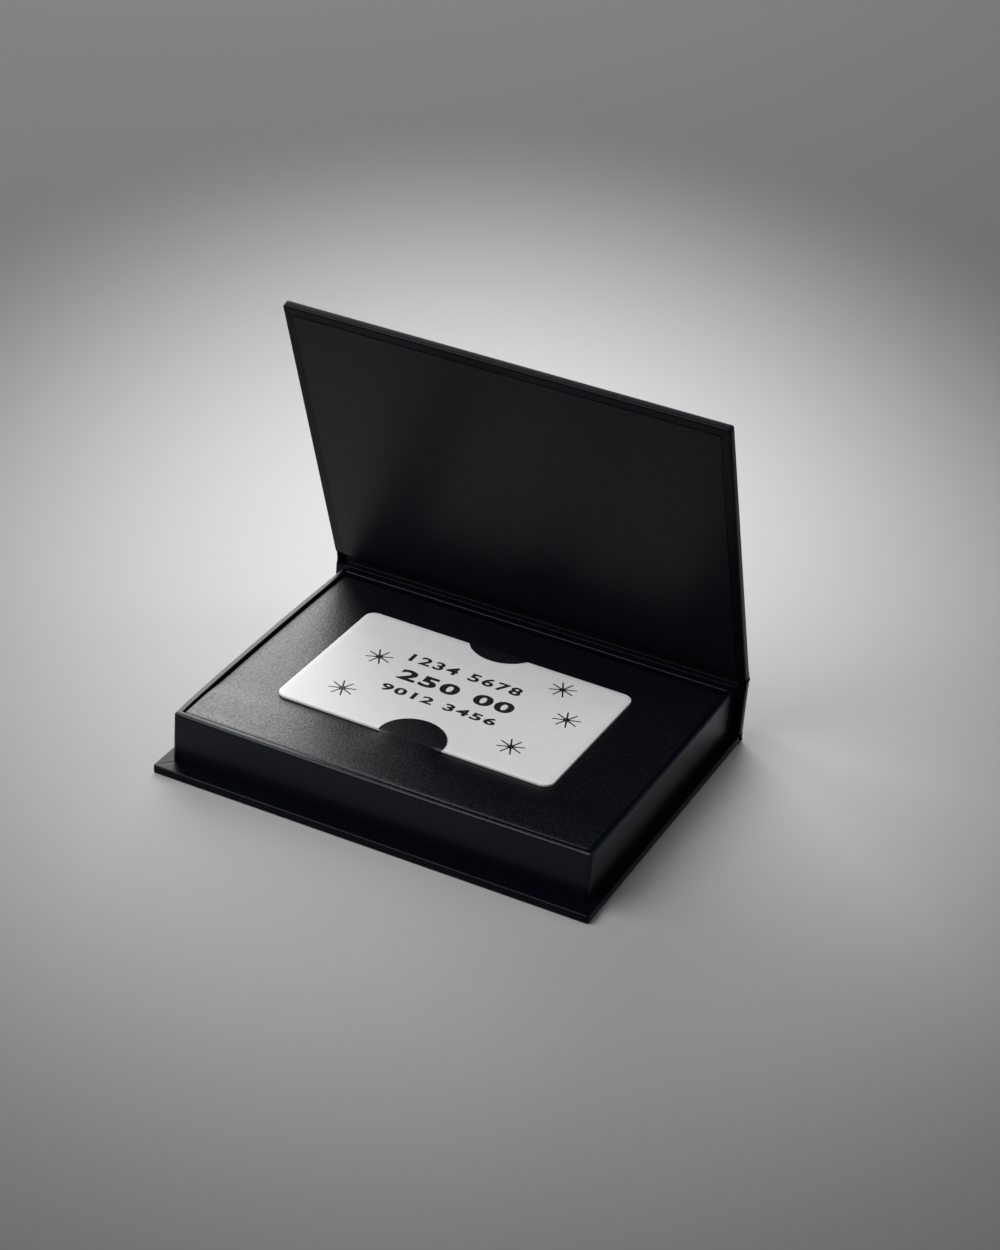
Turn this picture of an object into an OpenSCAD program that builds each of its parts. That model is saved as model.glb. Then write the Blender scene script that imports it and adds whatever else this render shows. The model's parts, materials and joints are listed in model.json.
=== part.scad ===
// Book-style gift card box in millimetres, drawn with its lid standing open.
// X runs along the hinges, Y from the front edge to the spine, and Z up from the table.
// The origin is under the middle of the tray, on the face that the box rests on.

/* [Tray] */
// Outer width of the wrapped tray
tray_w = 127; // [112:0.5:170]
// Outer depth of the wrapped tray, front to back
tray_d = 95.6; // [86:0.1:130]
// Height of the tray from the base's top to its rim
tray_h = 15.3; // [12:0.1:40]
// Thickness of the greyboard of the tray
tray_board_t = 1.6; // [1:0.1:2.5]
// Depth that the tray's wrap is turned down inside the walls
rim_turn_down = 5.5; // [2:0.5:7]
// Width of the tray wrap's flange under the floor
under_flange = 10; // [4:0.5:20]
// Leg length of the paper stays glued into the tray's corners
stay_leg = 12; // [4:0.5:30]
// Thickness of the corner stays
stay_t = 0.1; // [0.05:0.01:0.2]
// Space between the top of a stay and the turned-down wrap
stay_gap = 1; // [0.2:0.1:2]

/* [Case] */
// Thickness of the greyboard of the base, spine and lid
case_board_t = 2.2; // [1.5:0.1:3]
// Thickness of the covering paper
wrap_t = 0.15; // [0.08:0.01:0.3]
// Thickness of the lining paper inside the lid and spine
lining_t = 0.15; // [0.08:0.01:0.3]
// Distance that the base and lid stand out past each side of the tray
side_overhang = 3; // [1:0.1:8]
// Distance that the base and lid stand out past the front of the tray
front_overhang = 5.7; // [1:0.1:10]
// Width of the covering paper turned over onto the inside of the boards
turn_in = 15; // [8:0.5:20]
// Distance of the lining's edge from the edges of the lid and spine
lining_margin = 3; // [1:0.1:6]
// Length of the lining's tail on the base, under the tray
lining_tail = 10; // [4:0.5:30]
// Radius of the covered outside corners, seen square to the board
corner_r = 0.8; // [0.4:0.1:3]
// Clearance between neighbouring panels at a hinge when they stand square
fold_clearance = 0.15; // [0.1:0.05:1]
// Clearance between the tray's back wall and the lined spine
spine_clearance = 0.55; // [0.2:0.05:2]
// Clearance between the tray's rim and the lined lid when it is closed
lid_clearance = 0.35; // [0.3:0.05:2]
// Angle of the lid from closed, as drawn
lid_open = 68.4; // [30:0.1:120]

/* [Platform] */
// Thickness of the folded card sheet
sheet_t = 0.45; // [0.3:0.05:0.8]
// Depth of the platform's top below the tray's rim
recess = 1; // [0.8:0.1:5]
// Clearance between the platform and each side wall
side_gap = 1.1; // [0.3:0.1:3]
// Clearance between the platform and the front wall
front_gap = 1.9; // [0.3:0.1:3]
// Clearance between the platform and the back wall
back_gap = 1.1; // [0.3:0.1:3]
// Outside radius of the platform's folded edges
fold_r = 0.8; // [0.8:0.1:2]
// Extra cut round each tab's opening in the platform
kerf = 0.1; // [0.05:0.01:0.3]
// Radius of the round relief cut at each end of a tab's slit
relief_r = 0.6; // [0.3:0.1:1.5]

/* [Card] */
// Length of the plastic card
card_w = 85.6; // [80:0.1:90]
// Height of the plastic card
card_h = 53.98; // [50:0.01:58]
// Thickness of the plastic card
card_t = 0.76; // [0.5:0.02:0.9]
// Corner radius of the plastic card
card_r = 3.18; // [1:0.01:6]
// Place of the card's middle along X
card_x = -2.4; // [-6:0.1:6]
// Place of the card's middle along Y
card_y = 2.2; // [-3:0.1:5]
// Turn of the card in its holder, in degrees
card_turn = -0.7; // [-0.8:0.1:0.8]
// Clearance between the card and the platform, and between the card and the tabs
card_gap = 0.05; // [0.03:0.01:0.1]

/* [Tabs] */
// Width of both half-moon tabs at their slit
tab_w = 20.4; // [14:0.1:30]
// Distance of the tabs' middle from the card's middle
tab_shift = 0.2; // [-2:0.1:2]
// Distance that the front tab reaches over the card
front_reach = 11.3; // [5:0.1:14]
// Distance that the back tab reaches over the card
back_reach = 5.2; // [3:0.1:8]
// Thickness of the tabs
tab_t = 0.35; // [0.2:0.01:0.4]
// Clearance between a tab's folded root and the card's edge
root_gap = 0.35; // [0.2:0.05:0.6]
// Radius of the crease bead that each tab turns on
bead_r = 0.2; // [0.1:0.01:0.2]
// Height of the tabs' turning lines above the platform
bead_lift = 0.25; // [0.21:0.01:0.3]

/* [Closure] */
// Diameter of the hidden magnets and of their steel keeper discs
disc_d = 8; // [5:0.5:9]
// Thickness of the magnets in the lid board
magnet_t = 1.2; // [0.8:0.1:1.4]
// Thickness of the keeper discs under the platform
keeper_t = 0.8; // [0.5:0.1:1.5]
// Clearance round each magnet in its pocket
pocket_gap = 0.05; // [0.03:0.01:0.2]
// Distance of the magnets from the middle, along X
disc_x = 35; // [15:0.5:45]
// Clearance between the keeper discs and the platform's front fold
disc_inset = 1; // [0.5:0.1:3]

/* [Hidden] */
$fn = 48;

// Past a face, so that a cut goes cleanly through it
cut = 1;

greyboard = "#8f8a80";
black_paper = "#1d1f22";
lining_paper = "#25282c";
tab_paper = "#2b2e33";
stay_paper = "#b9a987";
card_white = "#d8dadd";
steel = "#9aa0a6";

covered_t = case_board_t + 2 * wrap_t;
wall_t = tray_board_t + 2 * wrap_t;
rim_z = covered_t + tray_h;
floor_z = covered_t + wrap_t + tray_board_t;

cover_w = tray_w + 2 * side_overhang;
// Distance from each hinge line to the covered edges of the panels beside it
hinge_gap = covered_t + lining_t + fold_clearance;
hinge_y = tray_d / 2 + spine_clearance + lining_t + covered_t;
hinge_z = rim_z + lid_clearance + lining_t + covered_t;
cover_len = hinge_y + tray_d / 2 + front_overhang;
crease_t = wrap_t + lining_t;

platform_x = tray_w / 2 - wall_t - side_gap;
platform_front = -tray_d / 2 + wall_t + front_gap;
platform_back = tray_d / 2 - wall_t - back_gap;
platform_z = rim_z - recess;
fold_stop = fold_r + sheet_t;

card_z = platform_z + card_gap;
leaf_z = card_z + card_t + card_gap;
tab_x = card_x + tab_shift;
// Half the card's height, and what its small turn adds over the width of a tab
card_edge = card_h / 2 * cos(card_turn) + (tab_w / 2 + abs(tab_shift)) * abs(sin(card_turn));
root_y = card_edge + root_gap + tab_t / 2;
root_z = platform_z + bead_lift;

disc_y = platform_front + sheet_t + disc_inset + disc_d / 2;

// Solid box between two corners
module block(low, high) {
    translate(low) cube(high - low);
}

// Moves a flat panel, drawn from its hinge line along +Y with its inner face up, to the base
module as_base() {
    translate([0, hinge_y, 0]) rotate([0, 0, 180]) children();
}

// Moves a flat panel to the upright spine, over the lower hinge line
module as_spine() {
    translate([0, hinge_y, 0]) rotate([90, 0, 0]) children();
}

// Moves a flat panel to the open lid, over the upper hinge line
module as_lid() {
    translate([0, hinge_y, hinge_z]) rotate([180 - lid_open, 0, 0]) children();
}

// Plate from near to far, with round corners of radius r at its far end
module plate(half_w, near, far, low, high, r) {
    translate([0, 0, low]) linear_extrude(high - low) {
        translate([-half_w, near]) square([2 * half_w, far - r - near]);
        if (r > 0) {
            translate([r - half_w, near]) square([2 * (half_w - r), far - near]);
            for (side = [-1, 1]) translate([side * (half_w - r), far - r]) circle(r);
        }
    }
}

// Greyboard of a panel; the far corners of the base and lid are round, the spine's square
module panel_board(near, far, r) {
    plate(cover_w / 2 - wrap_t, near + wrap_t, far - wrap_t, wrap_t, covered_t - wrap_t,
          max(r - wrap_t, 0));
}

// Covering paper: outer face, edges and the turn-ins on the inner face
module panel_wrap(near, far, r) {
    difference() {
        plate(cover_w / 2, near, far, 0, covered_t, r);
        panel_board(near, far, r);
        block([turn_in - cover_w / 2, near - cut, covered_t - wrap_t],
              [cover_w / 2 - turn_in, r > 0 ? far - turn_in : far + cut, covered_t + cut]);
    }
}

// Lining paper: on the turn-ins at its edges, and sunk between them onto the board
module panel_lining(near, far, r) {
    half_w = cover_w / 2 - lining_margin;
    window = cover_w / 2 - turn_in;
    end = r > 0 ? far - lining_margin : far;
    window_end = r > 0 ? far - turn_in : far;
    difference() {
        block([-half_w, near, covered_t], [half_w, end, covered_t + lining_t]);
        block([lining_t - window, near - cut, covered_t - cut],
              [window - lining_t, r > 0 ? window_end - lining_t : far + cut, covered_t + cut]);
    }
    block([-window, near, covered_t - wrap_t],
          [window, window_end, covered_t - wrap_t + lining_t]);
}

module base_board() {
    color(greyboard) as_base() panel_board(hinge_gap, cover_len, corner_r);
}

module base_wrap() {
    color(black_paper) as_base() panel_wrap(hinge_gap, cover_len, corner_r);
}

// End of the lining sheet, glued to the base between the turn-ins and under the tray
module base_lining() {
    window = cover_w / 2 - turn_in;
    color(lining_paper) as_base()
        block([-window, hinge_gap, covered_t - wrap_t],
              [window, hinge_gap + lining_tail, covered_t - wrap_t + min(lining_t, wrap_t)]);
}

module spine_board() {
    color(greyboard) as_spine() panel_board(hinge_gap, hinge_z - hinge_gap, 0);
}

module spine_wrap() {
    color(black_paper) as_spine() panel_wrap(hinge_gap, hinge_z - hinge_gap, 0);
}

module spine_lining() {
    color(lining_paper) as_spine() panel_lining(hinge_gap, hinge_z - hinge_gap, 0);
}

// Magnets, or the pockets that hold them, flush with the lid board's inner face
module magnet_row(gap) {
    for (side = [-1, 1])
        translate([side * disc_x, hinge_y - disc_y, covered_t - wrap_t - magnet_t - gap])
            cylinder(h = magnet_t + gap + (gap > 0 ? cut : 0), d = disc_d + 2 * gap);
}

module lid_board() {
    color(greyboard) as_lid() difference() {
        panel_board(hinge_gap, cover_len, corner_r);
        magnet_row(pocket_gap);
    }
}

module lid_magnets() {
    color(steel) as_lid() magnet_row(0);
}

module lid_wrap() {
    color(black_paper) as_lid() panel_wrap(hinge_gap, cover_len, corner_r);
}

module lid_lining() {
    color(lining_paper) as_lid() panel_lining(hinge_gap, cover_len, corner_r);
}

// Strip of covering and lining paper, bent at a hinge line. Each of its two legs is given by
// its direction and its inward normal in the YZ plane.
module crease(height, leg_a, inward_a, leg_b, inward_b) {
    bend = crease_t * (inward_a + inward_b) / (1 + inward_a * inward_b);
    color(black_paper) translate([-cover_w / 2, hinge_y, height]) rotate([90, 0, 90])
        linear_extrude(cover_w) polygon([
            hinge_gap * leg_a, [0, 0], hinge_gap * leg_b,
            hinge_gap * leg_b + crease_t * inward_b, bend, hinge_gap * leg_a + crease_t * inward_a
        ]);
}

module lower_crease() {
    crease(0, [-1, 0], [0, 1], [0, 1], [-1, 0]);
}

module upper_crease() {
    crease(hinge_z, [0, -1], [-1, 0], [-cos(lid_open), sin(lid_open)],
           [-sin(lid_open), -cos(lid_open)]);
}

// Plan of the tray, drawn in from its outer faces
module tray_plan(inset) {
    r = corner_r - inset;
    x = tray_w / 2 - inset;
    y = tray_d / 2 - inset;
    if (r > 0) {
        square([2 * x, 2 * (y - r)], center = true);
        square([2 * (x - r), 2 * y], center = true);
        for (i = [-1, 1], j = [-1, 1]) translate([i * (x - r), j * (y - r)]) circle(r);
    } else {
        square([2 * x, 2 * y], center = true);
    }
}

// Upright ring between two insets of the tray's plan
module tray_ring(outer, inner, low, high) {
    translate([0, 0, low]) linear_extrude(high - low) difference() {
        tray_plan(outer);
        tray_plan(inner);
    }
}

// Folded tray blank: floor and four walls
module tray_board() {
    color(greyboard) {
        tray_ring(wrap_t, wrap_t + tray_board_t, covered_t + wrap_t, rim_z - wrap_t);
        translate([0, 0, covered_t + wrap_t]) linear_extrude(tray_board_t) tray_plan(wrap_t);
    }
}

// Wrap of the tray: outside, over the rim, down the inside, and a flange under the floor
module tray_wrap() {
    color(black_paper) {
        tray_ring(0, wrap_t, covered_t, rim_z);
        tray_ring(0, wall_t, rim_z - wrap_t, rim_z);
        tray_ring(wrap_t + tray_board_t, wall_t, rim_z - rim_turn_down, rim_z);
        tray_ring(0, under_flange, covered_t, covered_t + wrap_t);
    }
}

// Paper stays folded into the inside corners of the blank, below the turned-down wrap
module tray_corner_stays() {
    x = tray_w / 2 - wrap_t - tray_board_t;
    y = tray_d / 2 - wrap_t - tray_board_t;
    top = rim_z - rim_turn_down - stay_gap;
    color(stay_paper) for (i = [0, 1], j = [0, 1]) mirror([i, 0, 0]) mirror([0, j, 0]) {
        block([x - stay_leg, y - stay_t, floor_z], [x, y, top]);
        block([x - stay_t, y - stay_leg, floor_z], [x, y, top]);
    }
}

// Half-moon outline from its root line along +Y, with the given width and reach
module half_moon(w, reach, grow) {
    r = (w * w / 4 + reach * reach) / (2 * reach);
    intersection() {
        translate([0, reach - r]) circle(r + grow, $fn = 96);
        translate([-w, -grow]) square([2 * w, reach + cut]);
    }
}

// Opening that a tab leaves in the sheet, with a relief cut at each end of its slit
module tab_opening(reach) {
    translate([tab_x, 0]) {
        half_moon(tab_w, reach, kerf);
        for (side = [-1, 1]) translate([side * tab_w / 2, 0]) circle(relief_r);
    }
}

// Folded edge and flange of the sheet, for an edge of length len centred on the Y axis
module folded_edge(len) {
    translate([-len / 2, 0, 0]) rotate([90, 0, 90]) linear_extrude(len) {
        intersection() {
            difference() {
                translate([-fold_r, -fold_r]) circle(fold_r);
                translate([-fold_r, -fold_r]) circle(fold_r - sheet_t);
            }
            translate([-fold_r, -fold_r]) square(fold_r);
        }
        translate([-sheet_t, floor_z - platform_z])
            square([sheet_t, platform_z - floor_z - fold_r]);
    }
}

// Inverted tray folded from one sheet, whose flanges stand on the tray's floor
module insert_platform() {
    depth = platform_back - platform_front;
    middle = (platform_back + platform_front) / 2;
    color(black_paper) {
        translate([0, 0, platform_z - sheet_t]) linear_extrude(sheet_t) difference() {
            translate([0, middle]) {
                square([2 * (platform_x - fold_r), depth - 2 * fold_stop], center = true);
                square([2 * (platform_x - fold_stop), depth - 2 * fold_r], center = true);
            }
            translate([0, card_y - root_y]) tab_opening(root_y - card_h / 2 + front_reach);
            translate([0, card_y + root_y]) mirror([0, 1])
                tab_opening(root_y - card_h / 2 + back_reach);
        }
        translate([0, middle, platform_z]) for (side = [0, 180]) rotate(side) {
            translate([0, depth / 2, 0]) folded_edge(2 * (platform_x - fold_stop));
            rotate(90) translate([0, platform_x, 0]) folded_edge(depth - 2 * fold_stop);
        }
    }
}

module keeper_discs() {
    color(steel) for (side = [-1, 1])
        translate([side * disc_x, disc_y, platform_z - sheet_t - keeper_t])
            cylinder(h = keeper_t, d = disc_d);
}

// Tab with its root on the Y axis: crease bead, riser beside the card, leaf over the card
module tab(reach) {
    leaf_low = leaf_z - root_z;
    bead_len = tab_w - 2 * relief_r - 2 * kerf;
    translate([-bead_len / 2, 0, 0]) rotate([0, 90, 0]) cylinder(h = bead_len, r = bead_r);
    block([-bead_len / 2, -tab_t / 2, 0], [bead_len / 2, tab_t / 2, leaf_low + tab_t]);
    translate([0, 0, leaf_low]) linear_extrude(tab_t) half_moon(tab_w, reach, 0);
}

module front_tab() {
    color(tab_paper) translate([tab_x, card_y - root_y, root_z])
        tab(root_y - card_h / 2 + front_reach);
}

module back_tab() {
    color(tab_paper) translate([tab_x, card_y + root_y, root_z]) mirror([0, 1, 0])
        tab(root_y - card_h / 2 + back_reach);
}

module gift_card() {
    w = card_w - 2 * card_r;
    h = card_h - 2 * card_r;
    color(card_white) translate([card_x, card_y, card_z]) rotate(card_turn) linear_extrude(card_t) {
        square([card_w, h], center = true);
        square([w, card_h], center = true);
        for (i = [-0.5, 0.5], j = [-0.5, 0.5]) translate([i * w, j * h]) circle(card_r);
    }
}

base_board();
base_wrap();
base_lining();
tray_board();
tray_corner_stays();
tray_wrap();
insert_platform();
keeper_discs();
front_tab();
back_tab();
gift_card();
lower_crease();
spine_board();
spine_wrap();
spine_lining();
upper_crease();
lid_board();
lid_wrap();
lid_lining();
lid_magnets();
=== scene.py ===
import json
import math

import bmesh
import bpy
from mathutils import Matrix, Vector, geometry, noise


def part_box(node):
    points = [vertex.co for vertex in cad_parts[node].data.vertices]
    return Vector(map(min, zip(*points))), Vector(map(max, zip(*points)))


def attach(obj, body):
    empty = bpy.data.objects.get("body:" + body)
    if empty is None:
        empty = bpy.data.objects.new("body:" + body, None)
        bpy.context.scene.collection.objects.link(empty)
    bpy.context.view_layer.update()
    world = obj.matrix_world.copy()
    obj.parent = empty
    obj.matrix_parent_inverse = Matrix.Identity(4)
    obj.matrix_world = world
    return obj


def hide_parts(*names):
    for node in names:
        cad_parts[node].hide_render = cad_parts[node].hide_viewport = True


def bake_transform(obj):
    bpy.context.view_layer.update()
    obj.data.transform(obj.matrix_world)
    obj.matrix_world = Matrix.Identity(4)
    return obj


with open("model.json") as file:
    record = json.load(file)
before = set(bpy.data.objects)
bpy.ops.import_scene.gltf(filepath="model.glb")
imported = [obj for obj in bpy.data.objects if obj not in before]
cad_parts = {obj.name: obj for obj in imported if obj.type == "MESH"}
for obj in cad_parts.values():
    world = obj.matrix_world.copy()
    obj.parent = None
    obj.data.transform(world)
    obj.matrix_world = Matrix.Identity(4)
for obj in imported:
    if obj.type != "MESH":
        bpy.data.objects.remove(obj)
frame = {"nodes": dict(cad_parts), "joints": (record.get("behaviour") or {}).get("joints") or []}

# Lengths are millimetres, as in the part's source, and become metres where a mesh is made
MM = 0.001
SHARP_ANGLE = math.radians(35)
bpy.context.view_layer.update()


def corners_mm(node):
    """Lowest and highest corner of a CAD node."""
    low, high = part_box(node)
    return Vector(low) / MM, Vector(high) / MM


JOINTS = {joint["name"]: joint for joint in frame["joints"]}
BASE_LOW, BASE_HIGH = corners_mm("base_wrap")
TRAY_LOW, TRAY_HIGH = corners_mm("tray_wrap")
TRAY_FLOOR = corners_mm("tray_corner_stays")[0].z
PLATE_LOW, PLATE_HIGH = corners_mm("insert_platform")
CARD_LOW, CARD_HIGH = corners_mm("gift_card")

HINGE_Y = JOINTS["spine_hinge"]["pos_m"][1] / MM
HINGE_Z = JOINTS["lid_hinge"]["pos_m"][2] / MM
LEAN = math.radians(90 - JOINTS["lid_hinge"]["range_deg"][1])

# Covered panels and their hinges
COVER_HALF = BASE_HIGH.x
COVER_T = BASE_HIGH.z
COVER_LEN = HINGE_Y - BASE_LOW.y
HINGE_GAP = HINGE_Y - BASE_HIGH.y
PAPER = 0.15
TURN_IN = 15.0
LINING_MARGIN = 3.0
CORNER_R = 0.8
EDGE_R = 0.48
MITRE_NOTCH = 0.04
LOWER_CREASE_R = 0.9
UPPER_CREASE_R = 5

# Tray
WALL_T = 1.9
RIM_TURN_DOWN = 5.5
UNDER_FLANGE = 10.0
RIM_R = 0.9
RIM_INNER_R = 0.3
SEAM = 0.3
LEFT_BOW = 0.6
RIGHT_BOW = 0.3
FRONT_BOW = 0.45

# Platform and tabs
SHEET_T = 0.45
FOLD_R = 0.35
SAG = 0.03
FRONT_LIFT = 0.45
RELIEF_R = 0.6
RELIEF_STEP = 20
KERF = 0.1
TAB_W = 19.6
TAB_T = 0.25
ROOT_RISE = 1.05
ROOT_RUN = 12.0
FRONT_TRIM = 1
TAB_X = JOINTS["front_tab_flex"]["pos_m"][0] / MM - 0.1
FRONT_ROOT = JOINTS["front_tab_flex"]["pos_m"][1] / MM
BACK_ROOT = JOINTS["back_tab_flex"]["pos_m"][1] / MM
FRONT_REACH = corners_mm("front_tab")[1].y - FRONT_ROOT - FRONT_TRIM
BACK_REACH = BACK_ROOT - corners_mm("back_tab")[0].y

# Card, with the small shift and turn by which it lies off its node
CARD_SIZE = Vector((85.6, 53.98))
CARD_R = 3.18
CARD_TURN = math.radians(-0.7)
CARD_MID = (CARD_LOW + CARD_HIGH) / 2
CARD_SHIFT = (0.25, 0.1, 0)
CARD_TWIST = -0.003
INK_T = 0.014


# Camera

def make_camera():
    """Camera fitted to the box's edges in the photograph."""
    data = bpy.data.cameras.new("camera")
    data.lens = 87.27
    data.sensor_width = 36.0
    camera = bpy.data.objects.new("camera", data)
    camera.location = Vector((302.2, -648.6, 467.8)) * MM
    camera.rotation_euler = [math.radians(a) for a in (59.235, -3.938, 26.550)]
    bpy.context.scene.collection.objects.link(camera)
    bpy.context.scene.camera = camera


# Mesh helpers

def tidy_mesh(mesh, material):
    """Merges doubled points, turns the normals outward and gives the mesh its material."""
    work = bmesh.new()
    work.from_mesh(mesh)
    bmesh.ops.remove_doubles(work, verts=work.verts, dist=1e-7)
    bmesh.ops.recalc_face_normals(work, faces=work.faces)
    work.to_mesh(mesh)
    work.free()
    mesh.materials.clear()
    mesh.materials.append(material)


def new_object(name, mesh):
    obj = bpy.data.objects.new(name, mesh)
    bpy.context.scene.collection.objects.link(obj)
    return obj


def new_piece(name, points, faces, material, place=None):
    """Smooth-shaded object from points in millimetres."""
    place = place or Matrix.Identity(4)
    mesh = bpy.data.meshes.new(name)
    mesh.from_pydata([(place @ Vector(p)) * MM for p in points], [], faces)
    tidy_mesh(mesh, material)
    mesh.shade_smooth()
    mesh.set_sharp_from_angle(angle=SHARP_ANGLE)
    return new_object(name, mesh)


def final_mesh(obj):
    """Mesh of an object with its modifiers applied."""
    graph = bpy.context.evaluated_depsgraph_get()
    return bpy.data.meshes.new_from_object(obj.evaluated_get(graph))


def thicken(obj, thickness):
    """Gives an open sheet that faces up its thickness below."""
    if sum(p.normal.z * p.area for p in obj.data.polygons) < 0:
        obj.data.flip_normals()
    modifier = obj.modifiers.new("thickness", "SOLIDIFY")
    modifier.thickness = thickness * MM
    modifier.offset = -1
    modifier.use_even_offset = True
    mesh = final_mesh(obj)
    obj.modifiers.clear()
    obj.data = mesh
    mesh.set_sharp_from_angle(angle=SHARP_ANGLE)


def fractions(length, step, near=()):
    """Fractions of a side about step apart, with more at the distances in near from its ends."""
    count = max(2, round(length / step))
    clear = max(near, default=0) + step / 3
    marks = [i / count for i in range(1, count) if min(i, count - i) * length / count > clear]
    for d in near:
        marks += [d / length, 1 - d / length]
    return sorted(marks)


def ring(x0, x1, y0, y1, radii, across, along, arc=4):
    """Anticlockwise ring of a rectangle. The corner radii start at x0, y0, and the fractions
    across and along place points on the sides along X and Y."""
    radii = [max(r, 0.04) for r in radii]
    centres = [(x0 + radii[0], y0 + radii[0]), (x1 - radii[1], y0 + radii[1]),
               (x1 - radii[2], y1 - radii[2]), (x0 + radii[3], y1 - radii[3])]
    points = []
    for i in range(4):
        start = 180 + 90 * i
        for k in range(arc + 1):
            a = math.radians(start + 90 * k / arc)
            points.append(Vector((centres[i][0] + radii[i] * math.cos(a),
                                  centres[i][1] + radii[i] * math.sin(a))))
        j = (i + 1) % 4
        a = math.radians(start + 90)
        end = Vector(centres[j]) + radii[j] * Vector((math.cos(a), math.sin(a)))
        begin = points[-1]
        for t in (along if i % 2 else across):
            points.append(begin.lerp(end, t))
    return points


def skin(rings, cap_start=False, cap_end=False, closed=False):
    """Points and faces of a skin over rings of equal length."""
    count = len(rings[0])
    points = [p for one in rings for p in one]
    faces = []
    for k in range(len(rings) if closed else len(rings) - 1):
        a, b = k * count, (k + 1) % len(rings) * count
        for i in range(count):
            j = (i + 1) % count
            faces.append((a + i, a + j, b + j, b + i))
    if cap_start:
        faces.append(tuple(reversed(range(count))))
    if cap_end:
        faces.append(tuple(range((len(rings) - 1) * count, len(rings) * count)))
    return points, faces


def thick_strip(rows, normals, thickness):
    """Points and faces of a closed sheet. The rows lie on its visible side, and its thickness
    goes against the normals."""
    count = len(rows[0])
    total = count * len(rows)
    points = [Vector(p) for row in rows for p in row]
    flat = [Vector(n) for row in normals for n in row]
    points += [p - n * thickness for p, n in zip(points[:total], flat)]
    faces = []
    for k in range(len(rows) - 1):
        for i in range(count - 1):
            a = k * count + i
            quad = (a, a + 1, a + 1 + count, a + count)
            faces.append(quad)
            faces.append(tuple(total + v for v in reversed(quad)))
    edge = list(range(count))
    edge += [k * count + count - 1 for k in range(1, len(rows))]
    edge += [(len(rows) - 1) * count + i for i in reversed(range(count - 1))]
    edge += [k * count for k in reversed(range(1, len(rows) - 1))]
    for a, b in zip(edge, edge[1:] + edge[:1]):
        faces.append((a, b, b + total, a + total))
    return points, faces


def inside(point, outline):
    """Whether a point lies in a closed outline."""
    x, y = point
    found = False
    for (ax, ay), (bx, by) in zip(outline, outline[1:] + outline[:1]):
        if (ay > y) != (by > y) and x < (bx - ax) * (y - ay) / (by - ay) + ax:
            found = not found
    return found


def fill_sheet(outline, holes, step):
    """Triangles between an outline and its holes, with more points step apart inside."""
    points = [Vector(p) for loop in (outline, *holes) for p in loop]
    border = list(points)
    edges, first = [], 0
    for loop in (outline, *holes):
        edges += [(first + i, first + (i + 1) % len(loop)) for i in range(len(loop))]
        first += len(loop)

    def on_sheet(p):
        return inside(p, outline) and not any(inside(p, hole) for hole in holes)

    low = Vector((min(p[0] for p in outline), min(p[1] for p in outline)))
    high = Vector((max(p[0] for p in outline), max(p[1] for p in outline)))
    # Every other row is staggered, so that the triangles come out even
    for i in range(1, int((high.x - low.x) / step) + 1):
        for j in range(1, int((high.y - low.y) / step) + 1):
            p = low + Vector((i - 0.37 * (j % 2), j - 0.2)) * step
            if on_sheet(p) and min((p - q).length for q in border) > step * 0.45:
                points.append(p)
    spots, _, triangles = geometry.delaunay_2d_cdt(points, edges, [], 0, 1e-5)[:3]
    faces = []
    for face in triangles:
        middle = sum((spots[i] for i in face), Vector((0, 0))) / len(face)
        if on_sheet(middle):
            faces.append(tuple(face))
    return spots, faces


def drift(s, seed, wavelength, size):
    """Slow wander along an edge, within about plus or minus size."""
    return size * noise.noise(Vector((s / wavelength, seed * 7.31, 0.37)))


def smooth_step(x, low, high):
    t = min(1.0, max(0.0, (x - low) / (high - low)))
    return t * t * (3 - 2 * t)


# A panel is drawn with its hinge line on the X axis, its far edge along +Y and its outer
# face down. These matrices move it to its place on the box.

BASE_PLACE = Matrix.Translation((0, HINGE_Y, 0)) @ Matrix.Rotation(math.pi, 4, "Z")
SPINE_PLACE = Matrix.Translation((0, HINGE_Y, 0)) @ Matrix.Rotation(math.pi / 2, 4, "X")
SPINE_TOP_PLACE = SPINE_PLACE @ Matrix.Translation((0, HINGE_Z, 0)) @ Matrix.Scale(-1, 4, (0, 1, 0))
LID_PLACE = (Matrix.Translation((0, HINGE_Y, HINGE_Z))
             @ Matrix.Rotation(math.pi / 2 + LEAN, 4, "X"))

# The print lies where the node has it, and the card itself a little off it
CARD_PLACE = Matrix.Translation((CARD_MID.x, CARD_MID.y, 0)) @ Matrix.Rotation(CARD_TURN, 4, "Z")
CARD_FIT = CARD_PLACE @ Matrix.Translation(CARD_SHIFT) @ Matrix.Rotation(CARD_TWIST, 4, "Z")


# Materials

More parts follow.
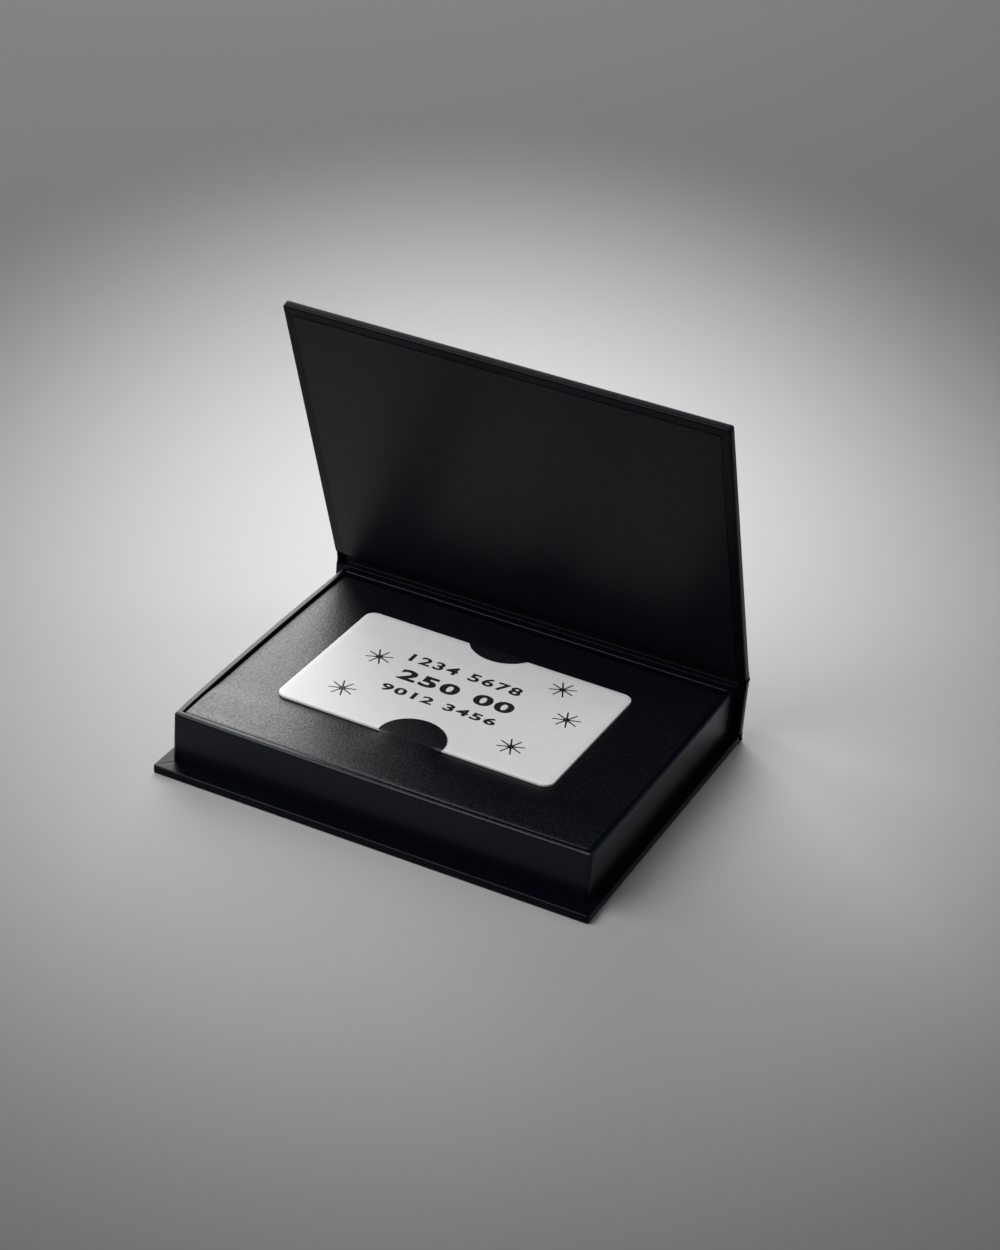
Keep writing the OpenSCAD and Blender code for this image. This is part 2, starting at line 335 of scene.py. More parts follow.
class Shader:
    """Node material with one Principled shader and short names for the nodes used here."""

    def __init__(self, name):
        self.material = bpy.data.materials.new(name)
        self.material.use_nodes = True
        tree = self.material.node_tree
        self.nodes, self.link = tree.nodes, tree.links.new
        self.nodes.clear()
        self.bsdf = self.nodes.new("ShaderNodeBsdfPrincipled")
        output = self.nodes.new("ShaderNodeOutputMaterial")
        self.link(self.bsdf.outputs["BSDF"], output.inputs["Surface"])
        self.place = self.nodes.new("ShaderNodeTexCoord").outputs["Object"]

    def noise(self, scale, detail=2.0, roughness=0.5):
        node = self.nodes.new("ShaderNodeTexNoise")
        node.inputs["Scale"].default_value = scale
        node.inputs["Detail"].default_value = detail
        node.inputs["Roughness"].default_value = roughness
        self.link(self.place, node.inputs["Vector"])
        return node.outputs["Fac"]

    def span(self, value, low, high):
        """Maps a noise's middle range onto low to high."""
        node = self.nodes.new("ShaderNodeMapRange")
        node.inputs["From Min"].default_value = 0.3
        node.inputs["From Max"].default_value = 0.7
        node.inputs["To Min"].default_value = low
        node.inputs["To Max"].default_value = high
        self.link(value, node.inputs["Value"])
        return node.outputs["Result"]

    def colour(self, value, dark, light):
        node = self.nodes.new("ShaderNodeMix")
        node.data_type = "RGBA"
        colours = [s for s in node.inputs if s.type == "RGBA"]
        colours[0].default_value = (*dark, 1)
        colours[1].default_value = (*light, 1)
        self.link(self.span(value, 0, 1), node.inputs["Factor"])
        result = [s for s in node.outputs if s.type == "RGBA"][0]
        self.link(result, self.bsdf.inputs["Base Color"])

    def rough(self, value, low, high):
        self.link(self.span(value, low, high), self.bsdf.inputs["Roughness"])

    def bump(self, height, distance, strength, below=None):
        node = self.nodes.new("ShaderNodeBump")
        node.inputs["Distance"].default_value = distance * MM
        node.inputs["Strength"].default_value = strength
        self.link(height, node.inputs["Height"])
        if below is not None:
            self.link(below, node.inputs["Normal"])
        self.link(node.outputs["Normal"], self.bsdf.inputs["Normal"])
        return node.outputs["Normal"]


def black_paper(name, dark, light, rough, grain, specular):
    """Coated black paper, with a fine grain in relief and gloss and the slow unevenness of a
    glued sheet."""
    shader = Shader(name)
    fibre = shader.noise(1300, 3, 0.6)
    shader.colour(fibre, dark, light)
    spread = 0.15 * grain
    shader.rough(fibre, rough + spread, rough - spread)
    swell = shader.bump(shader.noise(26, 1), 0.9, 0.10)
    coarse = shader.bump(fibre, 0.12, grain, swell)
    shader.bump(shader.noise(3600, 2, 0.6), 0.03, grain, coarse)
    shader.bsdf.inputs["Specular IOR Level"].default_value = specular
    return shader.material


def card_plastic():
    shader = Shader("card_plastic")
    mottle = shader.noise(300, 3)
    shader.colour(mottle, (0.745, 0.755, 0.755), (0.775, 0.785, 0.785))
    shader.rough(mottle, 0.46, 0.54)
    shader.bump(shader.noise(3000, 2), 0.006, 0.3)
    shader.bsdf.inputs["Specular IOR Level"].default_value = 0.08
    return shader.material


def card_ink():
    shader = Shader("card_ink")
    speck = shader.noise(4000, 2)
    shader.colour(speck, (0.010, 0.010, 0.012), (0.022, 0.022, 0.025))
    shader.rough(speck, 0.40, 0.52)
    shader.bump(speck, 0.004, 0.3)
    return shader.material


def fibre_board(name, dark, light, rough):
    shader = Shader(name)
    fibre = shader.noise(900, 5, 0.65)
    shader.colour(fibre, dark, light)
    shader.rough(fibre, rough - 0.06, rough + 0.06)
    shader.bump(fibre, 0.08, 0.5)
    return shader.material


def plated_steel():
    shader = Shader("disc_steel")
    brush = shader.noise(1500, 3)
    shader.colour(brush, (0.50, 0.51, 0.53), (0.60, 0.61, 0.63))
    shader.rough(brush, 0.22, 0.36)
    shader.bump(brush, 0.005, 0.2)
    shader.bsdf.inputs["Metallic"].default_value = 1.0
    return shader.material


# Covered panels

ARC_STEPS = [math.radians(15 * k) for k in range(7)]


def panel_cover(name, near, far, round_far, material, place):
    """Board wrapped in paper, with the turn-ins round a sunk window on its inner face. The far
    edge is rounded and has a turn-in where round_far is true."""
    across = fractions(2 * COVER_HALF, 6, (0.14, 1.2))
    along = fractions(far - near, 6, (0.14, 1.2))
    # Inset from the sides and far edge, inset from the near edge, and height
    steps = [(TURN_IN + 0.3, 0.3, COVER_T - PAPER), (TURN_IN, 0.28, COVER_T - PAPER),
             (TURN_IN - 0.05, 0.26, COVER_T), (9.0, 0.2, COVER_T), (3.0, 0.12, COVER_T),
             (EDGE_R + 0.12, 0.04, COVER_T)]
    steps += [(EDGE_R * (1 - math.sin(a)), 0, COVER_T - EDGE_R * (1 - math.cos(a)))
              for a in ARC_STEPS]
    steps += [(EDGE_R * (1 - math.cos(a)), 0, EDGE_R * (1 - math.sin(a))) for a in ARC_STEPS]
    steps += [(EDGE_R + 0.12, 0.04, 0), (6.0, 0.2, 0)]
    rings = []
    for inset, start, level in steps:
        far_r = CORNER_R - inset if round_far else 0
        flat = ring(inset - COVER_HALF, COVER_HALF - inset, near + start,
                    far - (inset if round_far else start), [0, 0, far_r, far_r], across, along)
        mitred = round_far and EDGE_R < inset < TURN_IN and level > COVER_T / 2
        corner = Vector((COVER_HALF - inset, far - inset))
        shell = []
        for p in flat:
            notched = mitred and (Vector((abs(p.x), p.y)) - corner).length < 0.07
            shell.append((p.x, p.y, level - (MITRE_NOTCH if notched else 0)))
        rings.append(shell)
    points, faces = skin(rings, cap_start=True, cap_end=True)
    return new_piece(name, points, faces, material, place)


# Hinges: the outer crease strip and the lining run along the same path

class Groove:
    """Path of the paper between two panels, in the YZ plane, rounded where it bends."""

    def __init__(self, place_a, place_b, radius):
        self.hinge = place_a.to_translation().yz
        self.along = [(p.to_3x3() @ Vector((0, 1, 0))).yz for p in (place_a, place_b)]
        self.inward = [(p.to_3x3() @ Vector((0, 0, 1))).yz for p in (place_a, place_b)]
        turn = math.pi - self.along[0].angle(self.along[1])
        self.tangent = radius * math.tan(turn / 2)
        self.centre = self.hinge + self.along[0] * self.tangent + self.inward[0] * radius
        self.radius = radius

    def on_panel(self, side, v, w):
        return self.hinge + self.along[side] * v + self.inward[side] * w

    def bend(self, level, count=8):
        """Points and inward normals on the rounded part, from panel a to panel b."""
        result = []
        for k in range(count + 1):
            inward = self.inward[0].slerp(self.inward[1], k / count)
            result.append((self.centre - inward * (self.radius - level), inward))
        return result


def crease_strip(name, place_a, place_b, radius, fold_height, material):
    """Covering paper between two panels. At its sides it is turned over, and stands up between
    the panels' ends to fold_height."""
    groove = Groove(place_a, place_b, radius)
    middle = (HINGE_GAP + groove.tangent) / 2
    path = [(groove.on_panel(0, v, 0), groove.inward[0], 0) for v in (HINGE_GAP, middle)]
    bend = groove.bend(0)
    path += [(p, n, math.sin(math.pi * k / (len(bend) - 1))) for k, (p, n) in enumerate(bend)]
    path += [(groove.on_panel(1, v, 0), groove.inward[1], 0) for v in (middle, HINGE_GAP)]
    window = COVER_HALF - TURN_IN
    rings = []
    for p, n, puff in path:
        edge = COVER_HALF + 0.25 * puff
        top = fold_height - 0.2 * puff
        # Right half of the section, from the outer face round the fold to the inner face
        half = [(COVER_HALF - 0.4, 0), (edge - 0.1, 0.06), (edge, 0.2), (edge, (top + 0.2) / 2),
                (edge - 0.06, top - 0.1), (edge - 0.2, top), (COVER_HALF - 0.8, 0.55 * top + 0.15),
                (COVER_HALF - 1.7, 2 * PAPER + 0.12 * top), (COVER_HALF - 3, 2 * PAPER),
                (window + 0.1, 2 * PAPER), (window, PAPER)]
        rings.append([(x, *(p + n * w)) for x, w in half + [(-x, w) for x, w in reversed(half)]])
    points, faces = skin(rings, cap_start=True, cap_end=True)
    return new_piece(name, points, faces, material)


LINING_TOP = COVER_T + PAPER
LINING_R = 0.15
LINING_NEAR = HINGE_GAP - PAPER
CREASE_LEVEL = 3 * PAPER
FOOT_R = 0.3


def panel_path(places):
    """Lining on one panel as (v, w, normal v, normal w), from far to the foot of its end face."""
    path = [(v, LINING_TOP, 0, 1) for v in places]
    path += [(LINING_NEAR + LINING_R * (1 - math.sin(a)), LINING_TOP - LINING_R * (1 - math.cos(a)),
              -math.sin(a), math.cos(a)) for a in ARC_STEPS]
    path += [(LINING_NEAR, w, -1, 0) for w in (1.8, 1.2)]
    path += [(LINING_NEAR - FOOT_R * (1 - math.cos(a)), CREASE_LEVEL + FOOT_R * (1 - math.sin(a)),
              -math.cos(a), math.sin(a)) for a in ARC_STEPS]
    return path


def lining_columns():
    """Places across the lining, closer together where it sinks between the turn-ins."""
    window = COVER_HALF - TURN_IN
    end = COVER_HALF - LINING_MARGIN
    half = [4, 12, 20, 28, 36, window - 6, window - 4, window - 2, window, window + 4, end - 1,
            end - 0.4, end]
    return [-x for x in reversed(half)] + half


def lining_sheet(name, panel_a, panel_b, radius, material):
    """Lining paper from one panel, down its end face, along the groove and onto the next. Each
    panel has its place, its path and how far the paper sinks between the turn-ins."""
    columns = lining_columns()
    rows, normals = [], []

    def add_panel(place, path, sink):
        for v, w, nv, nw in path:
            fade = smooth_step(w, COVER_T / 2, COVER_T)
            rows.append([place @ Vector((x, v, w - fade * sink(x, v))) for x in columns])
            normals.append([place.to_3x3() @ Vector((0, nv, nw))] * len(columns))

    place_a, path_a, sink_a = panel_a
    place_b, path_b, sink_b = panel_b
    add_panel(place_a, path_a, sink_a)
    for p, n in Groove(place_a, place_b, radius).bend(CREASE_LEVEL, 6):
        rows.append([(x, *p) for x in columns])
        normals.append([(0, *n)] * len(columns))
    add_panel(place_b, path_b[::-1], sink_b)
    points, faces = thick_strip(rows, normals, PAPER - 0.01)
    return new_piece(name, points, faces, material)


def sink_between_sides(x, v):
    return 0.02 * smooth_step(COVER_HALF - TURN_IN - abs(x), 0, 6)


def sink_in_lid(x, v):
    return sink_between_sides(x, v) * smooth_step(COVER_LEN - TURN_IN - v, 0, 6)


def blend_at(obj):
    """Bakes the placement of a piece into its points."""
    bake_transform(obj)


# Tray

def bowed(x, y, z):
    """Point of the tray or platform, moved out with the slight bow of the front and side walls."""
    across, along = x / TRAY_HIGH.x, y / TRAY_HIGH.y
    lift = smooth_step(z, TRAY_LOW.z + 1.5, TRAY_HIGH.z)
    side = LEFT_BOW if x < 0 else RIGHT_BOW
    front = FRONT_BOW if y < 0 else 0
    return (x + side * lift * across ** 5 * (1 - along ** 2),
            y + front * lift * along ** 5 * (1 - across ** 2), z)


def rim_drop(x, y):
    """Depth by which the front rim sits lower than the side rims."""
    return (0.2 + 0.2 * (1 - (x / TRAY_HIGH.x) ** 4)) * smooth_step(-y, 40, 46)


def near_rim(z):
    """How near a height is to the tray's rim, from 0 to 1."""
    return smooth_step(z, TRAY_HIGH.z - 3, TRAY_HIGH.z - 0.5)


def lowered(p, z):
    """Point of the tray with the drop of its front rim."""
    return (*p, z - rim_drop(*p) * near_rim(z))


def tray_rings(steps, across, along):
    """Rings of the tray, one for each inset from its outer faces and height."""
    return [(inset, z, ring(TRAY_LOW.x + inset, TRAY_HIGH.x - inset, TRAY_LOW.y + inset,
                            TRAY_HIGH.y - inset, [max(CORNER_R - inset, 0.15)] * 4, across, along))
            for inset, z in steps]


def tray_blank(material):
    """Board of the tray, with its rim softened as the paper over it is."""
    top, low, inner = TRAY_HIGH.z, TRAY_LOW.z, PAPER + 0.02
    steps = [(inner, low + inner), (inner, low + 5), (inner, top - 5), (inner, top - RIM_R),
             (0.42, top - 0.42), (RIM_R, top - inner), (WALL_T - inner - 0.2, top - inner),
             (WALL_T - inner, top - inner - 0.2), (WALL_T - inner, top - 5),
             (WALL_T - inner, low + 5), (WALL_T - inner, TRAY_FLOOR)]
    spread = [0.05 * k for k in range(1, 20)]
    rings = [[bowed(*lowered(p, z)) for p in flat]
             for _, z, flat in tray_rings(steps, spread, spread)]
    points, faces = skin(rings, cap_start=True, cap_end=True)
    return new_piece("tray_blank", points, faces, material)


def tray_cover(material):
    """Wrap of the tray: down the inside, over the rim, down the outside and under the floor."""
    top, low = TRAY_HIGH.z, TRAY_LOW.z
    steps = [(WALL_T, top - z) for z in (RIM_TURN_DOWN, 2, RIM_INNER_R + 0.1)]
    steps += [(WALL_T - RIM_INNER_R * (1 - math.cos(a)), top - RIM_INNER_R * (1 - math.sin(a)))
              for a in ARC_STEPS]
    steps += [(RIM_R * (1 - math.sin(a)), top - RIM_R * (1 - math.cos(a))) for a in ARC_STEPS]
    steps += [(0, z) for z in (top - RIM_R - 0.1, top - 5, low + 5, low + 0.4)]
    steps += [(0.06, low + 0.1), (0.2, low), (0.4, low), (UNDER_FLANGE, low)]
    visible = len(steps)
    inner = PAPER + 0.01
    steps += [(UNDER_FLANGE, low + PAPER), (inner, low + PAPER), (inner, top - RIM_R),
              (0.4, top - 0.4), (RIM_R, top - inner), (WALL_T - inner, top - inner),
              (WALL_T - inner, top - RIM_TURN_DOWN)]
    across = fractions(TRAY_HIGH.x * 2, 3, (SEAM - 0.12, SEAM, SEAM + 0.12))
    along = fractions(TRAY_HIGH.y * 2, 3)
    rings = []
    for step, (inset, z, flat) in enumerate(tray_rings(steps, across, along)):
        rings.append([bowed(*(tray_point(p, z, inset) if step < visible else lowered(p, z)))
                      for p in flat])
    points, faces = skin(rings, closed=True)
    return new_piece("tray_cover", points, faces, material)


def tray_point(p, z, inset):
    """Point of the tray's wrap with its seams and the slight waviness of its rim."""
    x, y = p
    near_top = near_rim(z)
    if z > TRAY_LOW.z + 1:
        wave = near_top * drift(x + y, 3, 13, 0.14 if inset < 1 else 0.06)
        if abs(x) > TRAY_HIGH.x - inset - 0.01:
            x -= math.copysign(wave, x)
        elif abs(y) > TRAY_HIGH.y - inset - 0.01:
            y -= math.copysign(wave, y)
    from_seam = abs(TRAY_HIGH.x - CORNER_R - abs(x) - SEAM)
    if inset < 0.3 and TRAY_LOW.z + 0.3 < z < TRAY_HIGH.z - 0.3 and from_seam < 0.14:
        y += math.copysign(0.02 if from_seam > 0.05 else -0.14, y)
    return (x, y, z + near_top * (drift(x * 1.3 + y, 5, 17, 0.05) - rim_drop(x, y)))


# Platform and tabs

def moon(reach):
    """Radius and middle of a half-moon's arc, from its root line."""
    r = (TAB_W ** 2 / 4 + reach ** 2) / (2 * reach)
    return r, reach - r


def moon_arc(reach, grow, count):
    """Arc of a half-moon between the relief cuts at its ends."""
    r, middle = moon(reach)
    start = math.atan2(-middle, TAB_W / 2)
    turn = math.pi - 2 * start
    points = [((r + grow) * math.cos(start + turn * k / count),
               middle + (r + grow) * math.sin(start + turn * k / count)) for k in range(count + 1)]
    return [p for p in points if math.hypot(abs(p[0]) - TAB_W / 2, p[1]) > RELIEF_R * 1.05]


def relief_arc(first, last):
    """Points round the relief cut at a tab's right end, between two angles in degrees."""
    return [(TAB_W / 2 + RELIEF_R * math.cos(math.radians(a)), RELIEF_R * math.sin(math.radians(a)))
            for a in range(first, last, RELIEF_STEP)]


def half_moon_outline(reach, grow, relief):
    """Outline from the root line round a relief cut, along the arc and round the other cut."""
    edge = TAB_W / 2 - RELIEF_R
    root = [(edge * k / 8, 0.0) for k in range(-7, 8)]
    return root + relief + moon_arc(reach, grow, 48) + [(-x, y) for x, y in reversed(relief)]


def opening(reach):
    """Outline of a tab's opening."""
    r, middle = moon(reach)
    relief = [p for p in relief_arc(180, 440)
              if p[1] < 0.01 or math.hypot(p[0], p[1] - middle) > r + KERF + 0.02]
    return half_moon_outline(reach, KERF, relief)


def tab_outline(reach):
    """Outline of a tab, trimmed by the relief cuts."""
    r, middle = moon(reach)
    relief = [p for p in reversed(relief_arc(100, 181))
              if math.hypot(p[0], p[1] - middle) < r - 0.02]
    return half_moon_outline(reach, 0, relief)


def placed_outline(outline, root, towards):
    """Moves an outline to its root line, with its reach towards +Y or -Y."""
    points = [(TAB_X + x, root + towards * y) for x, y in outline]
    return points[::towards]


def root_bulge(x, y):
    """Height to which a tab lifts the sheet before its root line, where y is 0."""
    if y < -ROOT_RUN or y > 0.001:
        return 0.0
    side_fade = 1 - smooth_step(abs(x), 5, 13 - 0.6 * y)
    return ROOT_RISE * smooth_step(y, -ROOT_RUN, 0.5) * side_fade


def edge_lift(y):
    """Height by which the sheet stands a little proud in front of the card."""
    return FRONT_LIFT * smooth_step(-y, 25.6, 34)


def sheet_height(x, y):
    """Top of the platform with its slight unevenness and the bulges before the tabs."""
    from_edge = min(PLATE_HIGH.x - abs(x), PLATE_HIGH.y - 1.5 - y, y - PLATE_LOW.y)
    wave = SAG * smooth_step(from_edge, 1, 8) * noise.noise(Vector((x / 17, y / 17, 2.2)))
    bulge = root_bulge(x - TAB_X, y - FRONT_ROOT) + root_bulge(x - TAB_X, BACK_ROOT - y)
    return PLATE_HIGH.z - SAG - wave + bulge + edge_lift(y)


def platform(material):
    """Sheet with folded edges and the openings that its tabs leave."""
    low = Vector((WALL_T + 0.25 - TRAY_HIGH.x, WALL_T + 0.25 - TRAY_HIGH.y))
    high = Vector((TRAY_HIGH.x - WALL_T - 0.3, PLATE_HIGH.y))
    across = fractions(high.x - low.x, 3.5)
    along = fractions(high.y - low.y, 3.5)
    top = PLATE_HIGH.z - SAG
    steps = [(FOLD_R + 0.9, top), (FOLD_R + 0.15, top)]
    steps += [(FOLD_R * (1 - math.sin(a)), top - FOLD_R * (1 - math.cos(a))) for a in ARC_STEPS]
    steps += [(0, top - FOLD_R - depth) for depth in (0.15, 1.5, 5)] + [(0, TRAY_FLOOR)]
    shells = []
    for inset, z in steps:
        # The front fold is three times as wide as the others
        flat = ring(low.x + inset, high.x - inset, low.y + 3 * inset, high.y - inset,
                    [FOLD_R - inset + 0.15] * 4, across, along)
        shells.append([bowed(p.x, p.y, z + edge_lift(p.y) * smooth_step(z, 10, top - 2))
                       for p in flat])
    holes = [placed_outline(opening(FRONT_REACH), FRONT_ROOT, 1),
             placed_outline(opening(BACK_REACH), BACK_ROOT, -1)]
    spots, top_faces = fill_sheet([p[:2] for p in shells[0]], holes, 2.4)
    points = [(p.x, p.y, sheet_height(p.x, p.y)) for p in spots]
    first = len(points)
    side_points, side_faces = skin(shells)
    faces = top_faces + [tuple(first + v for v in face) for face in side_faces]
    obj = new_piece("platform", points + side_points, faces, material)
    thicken(obj, SHEET_T)
    return obj


def tab_sheet(name, root, reach, towards, material):
    """Tab that leaves the raised sheet at its root line and lies over the card."""
    spots, faces = fill_sheet(tab_outline(reach), [], 0.7)
    points = []
    for p in spots:
        x, y = TAB_X + p.x, root + towards * p.y
        start = sheet_height(x, root)
        over_card = CARD_HIGH.z + TAB_T + 0.03
        points.append((x, y, start + (over_card - start) * smooth_step(p.y, -0.2, 0.7)))
    obj = new_piece(name, points, faces, material)
    thicken(obj, TAB_T)
    return obj


# Card and its print

def plastic_card(material):
    """Standard card with softened edges."""
    bevel, border = 0.12, 2.0
    half = CARD_SIZE / 2
    steps = [(border, CARD_LOW.z), (bevel, CARD_LOW.z), (bevel * 0.3, CARD_LOW.z + bevel * 0.3),
             (0, CARD_LOW.z + bevel), (0, CARD_HIGH.z - bevel),
             (bevel * 0.3, CARD_HIGH.z - bevel * 0.3), (bevel, CARD_HIGH.z),
             (border, CARD_HIGH.z)]
    rings = []
    for inset, z in steps:
        flat = ring(inset - half.x, half.x - inset, inset - half.y, half.y - inset,
                    [CARD_R - inset] * 4, (0.25, 0.5, 0.75), (0.25, 0.5, 0.75), 10)
        rings.append([(p.x, p.y, z) for p in flat])
    points, faces = skin(rings, cap_start=True, cap_end=True)
    return new_piece("plastic_card", points, faces, material, CARD_FIT)


def asterisk(index, x, y, turn, material):
    """Eight thin rays from a heavier middle, a common ornament."""
    reach, shoulder, hub = 4.0, 1.5, 0.85
    half, taper = 0.25, 0.85
    outline = []
    for k in range(8):
        a = math.radians(22.5 + 45 * k + turn)
        ray = Vector((math.cos(a), math.sin(a)))
        side = Vector((-ray.y, ray.x)) * half
        notch = a - math.radians(22.5)
        outline.append(hub * Vector((math.cos(notch), math.sin(notch))))
        outline += [ray * shoulder - side, ray * reach - side * taper,
                    ray * reach + side * taper, ray * shoulder + side]
    rings = [[(x + p.x, y + p.y, z) for p in outline]
             for z in (CARD_HIGH.z - INK_T, CARD_HIGH.z + INK_T)]
    points, faces = skin(rings, cap_start=True, cap_end=True)
    return new_piece(f"print_asterisk_{index}", points, faces, material, CARD_PLACE)


def print_line(index, body, x, y, size, weight, material):
    """Line of plain numbers of a given width and height, centred on a point of the card."""
    curve = bpy.data.curves.new("number_line", "FONT")
    curve.body = body
    curve.space_character = 1.18
    curve.offset = weight
    # Only tells the upper face from the lower one, whose heights are set below
    curve.extrude = 0.5
    curve.resolution_u = 4
    text = new_object("number_line", curve)
    mesh = final_mesh(text)
    bpy.data.objects.remove(text)
    low = Vector((min(v.co.x for v in mesh.vertices), min(v.co.y for v in mesh.vertices)))
    high = Vector((max(v.co.x for v in mesh.vertices), max(v.co.y for v in mesh.vertices)))
    for v in mesh.vertices:
        flat = [(v.co[i] - (low[i] + high[i]) / 2) * size[i] / (high[i] - low[i]) for i in (0, 1)]
        z = CARD_HIGH.z + (INK_T if v.co.z > 0 else -INK_T)
        v.co = (CARD_PLACE @ Vector((flat[0] + x, flat[1] + y, z))) * MM
    tidy_mesh(mesh, material)
    return new_object(f"print_numbers_{index}", mesh)


# Stage and light

def floor_material():
    """Pale grey floor with a painted pool of light round the box: its colour darkens away from the
    box.
    """
    shader = Shader("floor_painted_glow")
    shift = shader.nodes.new("ShaderNodeMapping")
    shift.vector_type = "TEXTURE"
    shift.inputs["Location"].default_value = (-0.035, 0.10, 0)
    shift.inputs["Rotation"].default_value = (0, 0, math.radians(23))
    shift.inputs["Scale"].default_value = (0.27, 0.395, 1)
    shader.link(shader.place, shift.inputs["Vector"])
    # The spherical gradient paints the pool of light round the box into the floor's colour
    glow = shader.nodes.new("ShaderNodeTexGradient")
    glow.gradient_type = "SPHERICAL"
    shader.link(shift.outputs["Vector"], glow.inputs["Vector"])
    ramp = shader.nodes.new("ShaderNodeValToRGB")
    ramp.color_ramp.interpolation = "EASE"
    ramp.color_ramp.elements[0].color = (0.095, 0.098, 0.10, 1)
    ramp.color_ramp.elements[1].color = (0.595, 0.605, 0.605, 1)
    shader.link(glow.outputs["Fac"], ramp.inputs["Fac"])
    shader.link(ramp.outputs["Color"], shader.bsdf.inputs["Base Color"])
    shader.bsdf.inputs["Roughness"].default_value = 0.8
    shader.bsdf.inputs["Specular IOR Level"].default_value = 0.1
    return shader.material


def make_floor():
    size, z = 6000, -0.05
    points = [(-size, -size, z), (size, -size, z), (size, size, z), (-size, size, z)]
    new_piece("floor", points, [(0, 1, 2, 3)], floor_material())


def area_light(name, place, size, watts):
    """Soft light that faces the box from a place in metres."""
    data = bpy.data.lights.new(name, "AREA")
    data.shape = "RECTANGLE"
    data.size, data.size_y = size
    data.energy = watts
    light = new_object(name, data)
    light.location = place
    towards_box = Vector((0, 0, 0.02)) - Vector(place)
    light.rotation_euler = towards_box.to_track_quat("-Z", "Y").to_euler()


def make_light():
    world = bpy.data.worlds.new("room")
    bpy.context.scene.world = world
    world.use_nodes = True
    room = world.node_tree.nodes["Background"]
    room.inputs["Color"].default_value = (0.93, 0.96, 1.0, 1)
    room.inputs["Strength"].default_value = 0.16
    area_light("back_softbox", (-0.68, 1.06, 0.82), (1.1, 1.3), 26)
    area_light("left_softbox", (-0.74, -0.62, 1.15), (1.2, 1.2), 21)
    area_light("right_fill", (1.35, 0.78, 0.90), (0.8, 0.8), 3)


# Assembly

def dress(obj, body, slot, *nodes):
    """Hangs a piece on the body it rides on and hides the nodes it stands for. The slot is not
    used."""
    if body:
        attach(obj, body)
    if nodes:
        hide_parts(*nodes)


def paint(node, material):
    """Gives a CAD node that stays visible its material."""
    mesh = frame["nodes"][node].data
    mesh.materials.clear()
    mesh.materials.append(material)


def make_case(cover, lining):
    """Base, spine and lid with the hinges between them."""
    spine_far = HINGE_Z - HINGE_GAP
    dress(panel_cover("base_cover", HINGE_GAP, COVER_LEN, True, cover, BASE_PLACE),
          "base", "black_paper", "base_wrap")
    dress(panel_cover("spine_cover", HINGE_GAP, spine_far, False, cover, SPINE_PLACE),
          "spine", "black_paper", "spine_wrap")
    dress(panel_cover("lid_cover", HINGE_GAP, COVER_LEN, True, cover, LID_PLACE),
          "lid", "black_paper", "lid_wrap")

    lower = crease_strip("lower_crease_strip", BASE_PLACE, SPINE_PLACE, LOWER_CREASE_R, 0.5,
                         cover)
    blend_at(lower)
    dress(lower, None, "black_paper", "lower_crease")
    upper = crease_strip("upper_crease_strip", SPINE_TOP_PLACE, LID_PLACE, UPPER_CREASE_R, 2.0,
                         cover)
    blend_at(upper)
    dress(upper, None, "black_paper", "upper_crease")

    window_end = COVER_LEN - TURN_IN
    end = COVER_LEN - LINING_MARGIN
    lid_rows = [end, end - 0.4, end - 1, end - 6, window_end, window_end - 2, window_end - 4,
                window_end - 6, 74, 62, 50, 38, 26, 16, 8, 5, 3.6]
    spine_rows = [spine_far, spine_far - 0.4, 14, 9, 5, 3.6]
    sheet = lining_sheet(
        "upper_lining", (SPINE_TOP_PLACE, panel_path(spine_rows), sink_between_sides),
        (LID_PLACE, panel_path(lid_rows), sink_in_lid), UPPER_CREASE_R, lining)
    blend_at(sheet)
    dress(sheet, None, "lining_paper", "lid_lining", "spine_lining")


def make_tray(paper, card_stock, tab_stock, board):
    """Tray with its platform and the two tabs."""
    dress(tray_blank(board), "base", "greyboard", "tray_board")
    dress(tray_cover(paper), "base", "black_paper", "tray_wrap")
    dress(platform(card_stock), "base", "platform_card", "insert_platform")
    for body, root, reach, towards in (("front_tab", FRONT_ROOT, FRONT_REACH, 1),
                                       ("back_tab", BACK_ROOT, BACK_REACH, -1)):
        tab = tab_sheet(f"{body}_sheet", root, reach, towards, tab_stock)
        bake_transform(tab)
        dress(tab, None, "platform_card", body)


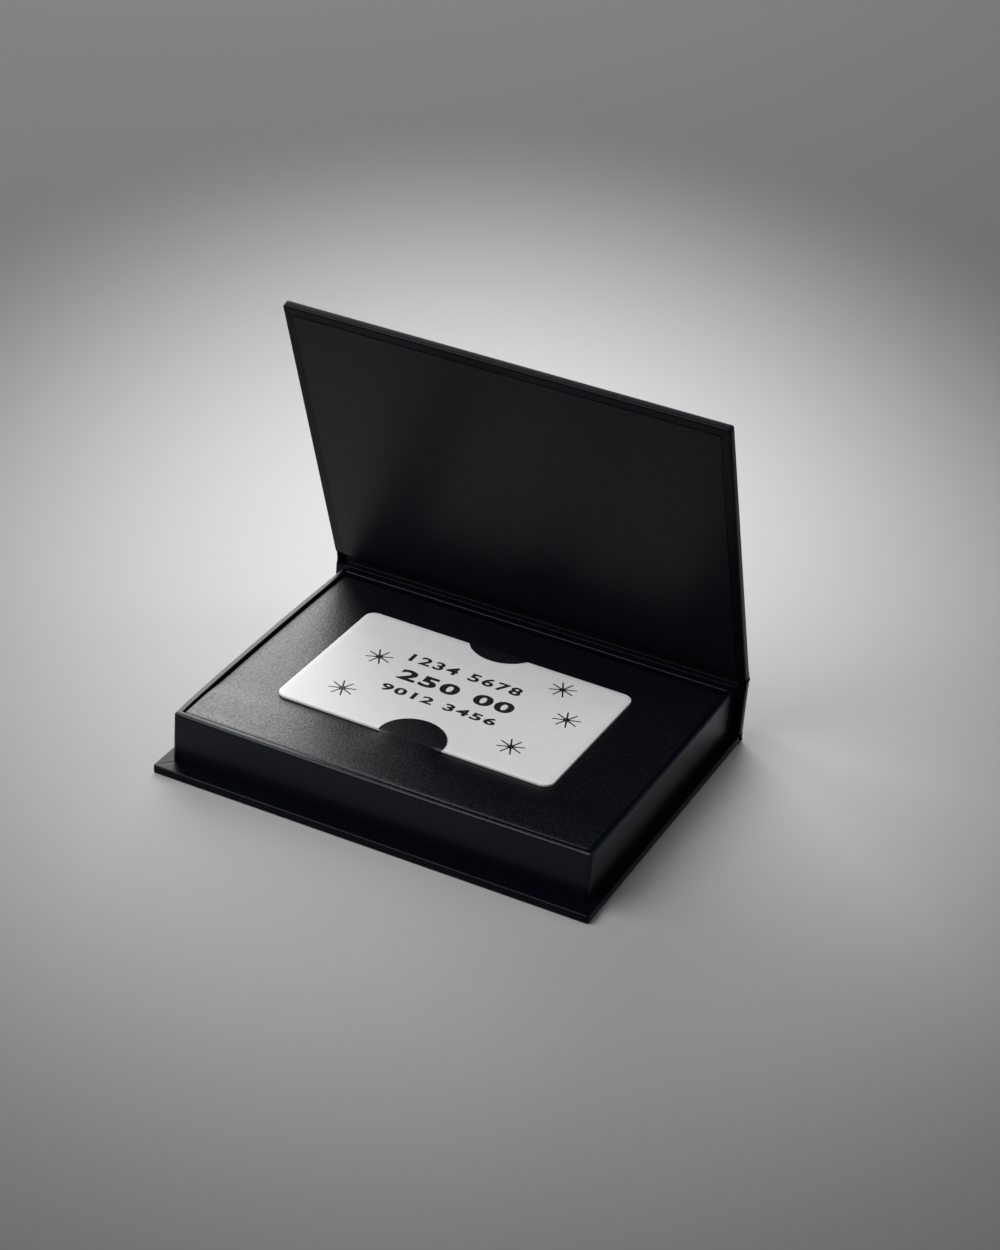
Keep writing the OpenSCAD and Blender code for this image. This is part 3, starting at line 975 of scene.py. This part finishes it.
def make_card(plastic, ink):
    """Card with five asterisks and three lines of plain numbers."""
    dress(plastic_card(plastic), "card", "card_plastic", "gift_card")
    stars = [(-27.7, 6.1, 3), (-28.2, -14.2, -2), (24.2, 19.2, 2), (32.1, 5.6, -3),
             (25.2, -15.0, 0)]
    for index, (x, y, turn) in enumerate(stars, 1):
        dress(asterisk(index, x, y, turn, ink), "card", "card_plastic")
    lines = [("1234 5678", -2.4, 11.0, (35.4, 4.4), 0.03),
             ("250 00", -0.6, 1.8, (36, 5.8), 0.04),
             ("9012 3456", -1.7, -6.8, (36, 3.8), 0.035)]
    for index, (body, x, y, size, weight) in enumerate(lines, 1):
        dress(print_line(index, body, x, y, size, weight, ink), "card", "card_plastic")


def paint_inner_nodes(board):
    """Materials of the parts held inside, which keep their CAD shapes."""
    for node in ("base_board", "spine_board", "lid_board"):
        paint(node, board)
    stays = fibre_board("stay_kraft", (0.40, 0.31, 0.20), (0.50, 0.41, 0.28), 0.8)
    paint("tray_corner_stays", stays)
    steel = plated_steel()
    for node in ("keeper_discs", "lid_magnets"):
        paint(node, steel)


def main():
    bpy.context.scene.view_settings.view_transform = "Standard"
    make_camera()
    make_light()
    make_floor()
    dark, light = (0.0003, 0.0020, 0.0044), (0.0006, 0.0028, 0.0060)
    wrap = black_paper("tray_paper", dark, light, 0.33, 0.30, 0.22)
    lining = black_paper("lining_sheet", dark, light, 0.42, 0.30, 0.17)
    dark, light = (0.0002, 0.0012, 0.0028), (0.0004, 0.0018, 0.0040)
    cover = black_paper("cover_paper", dark, light, 0.33, 0.30, 0.10)
    stock = black_paper("platform_stock", dark, light, 0.42, 0.60, 0.48)
    tab_stock = black_paper("tab_stock", dark, light, 0.50, 0.60, 0.50)
    board = fibre_board("grey_board", (0.22, 0.205, 0.18), (0.32, 0.30, 0.265), 0.85)
    make_case(cover, lining)
    make_tray(wrap, stock, tab_stock, board)
    make_card(card_plastic(), card_ink())
    paint("base_lining", lining)
    paint_inner_nodes(board)


main()
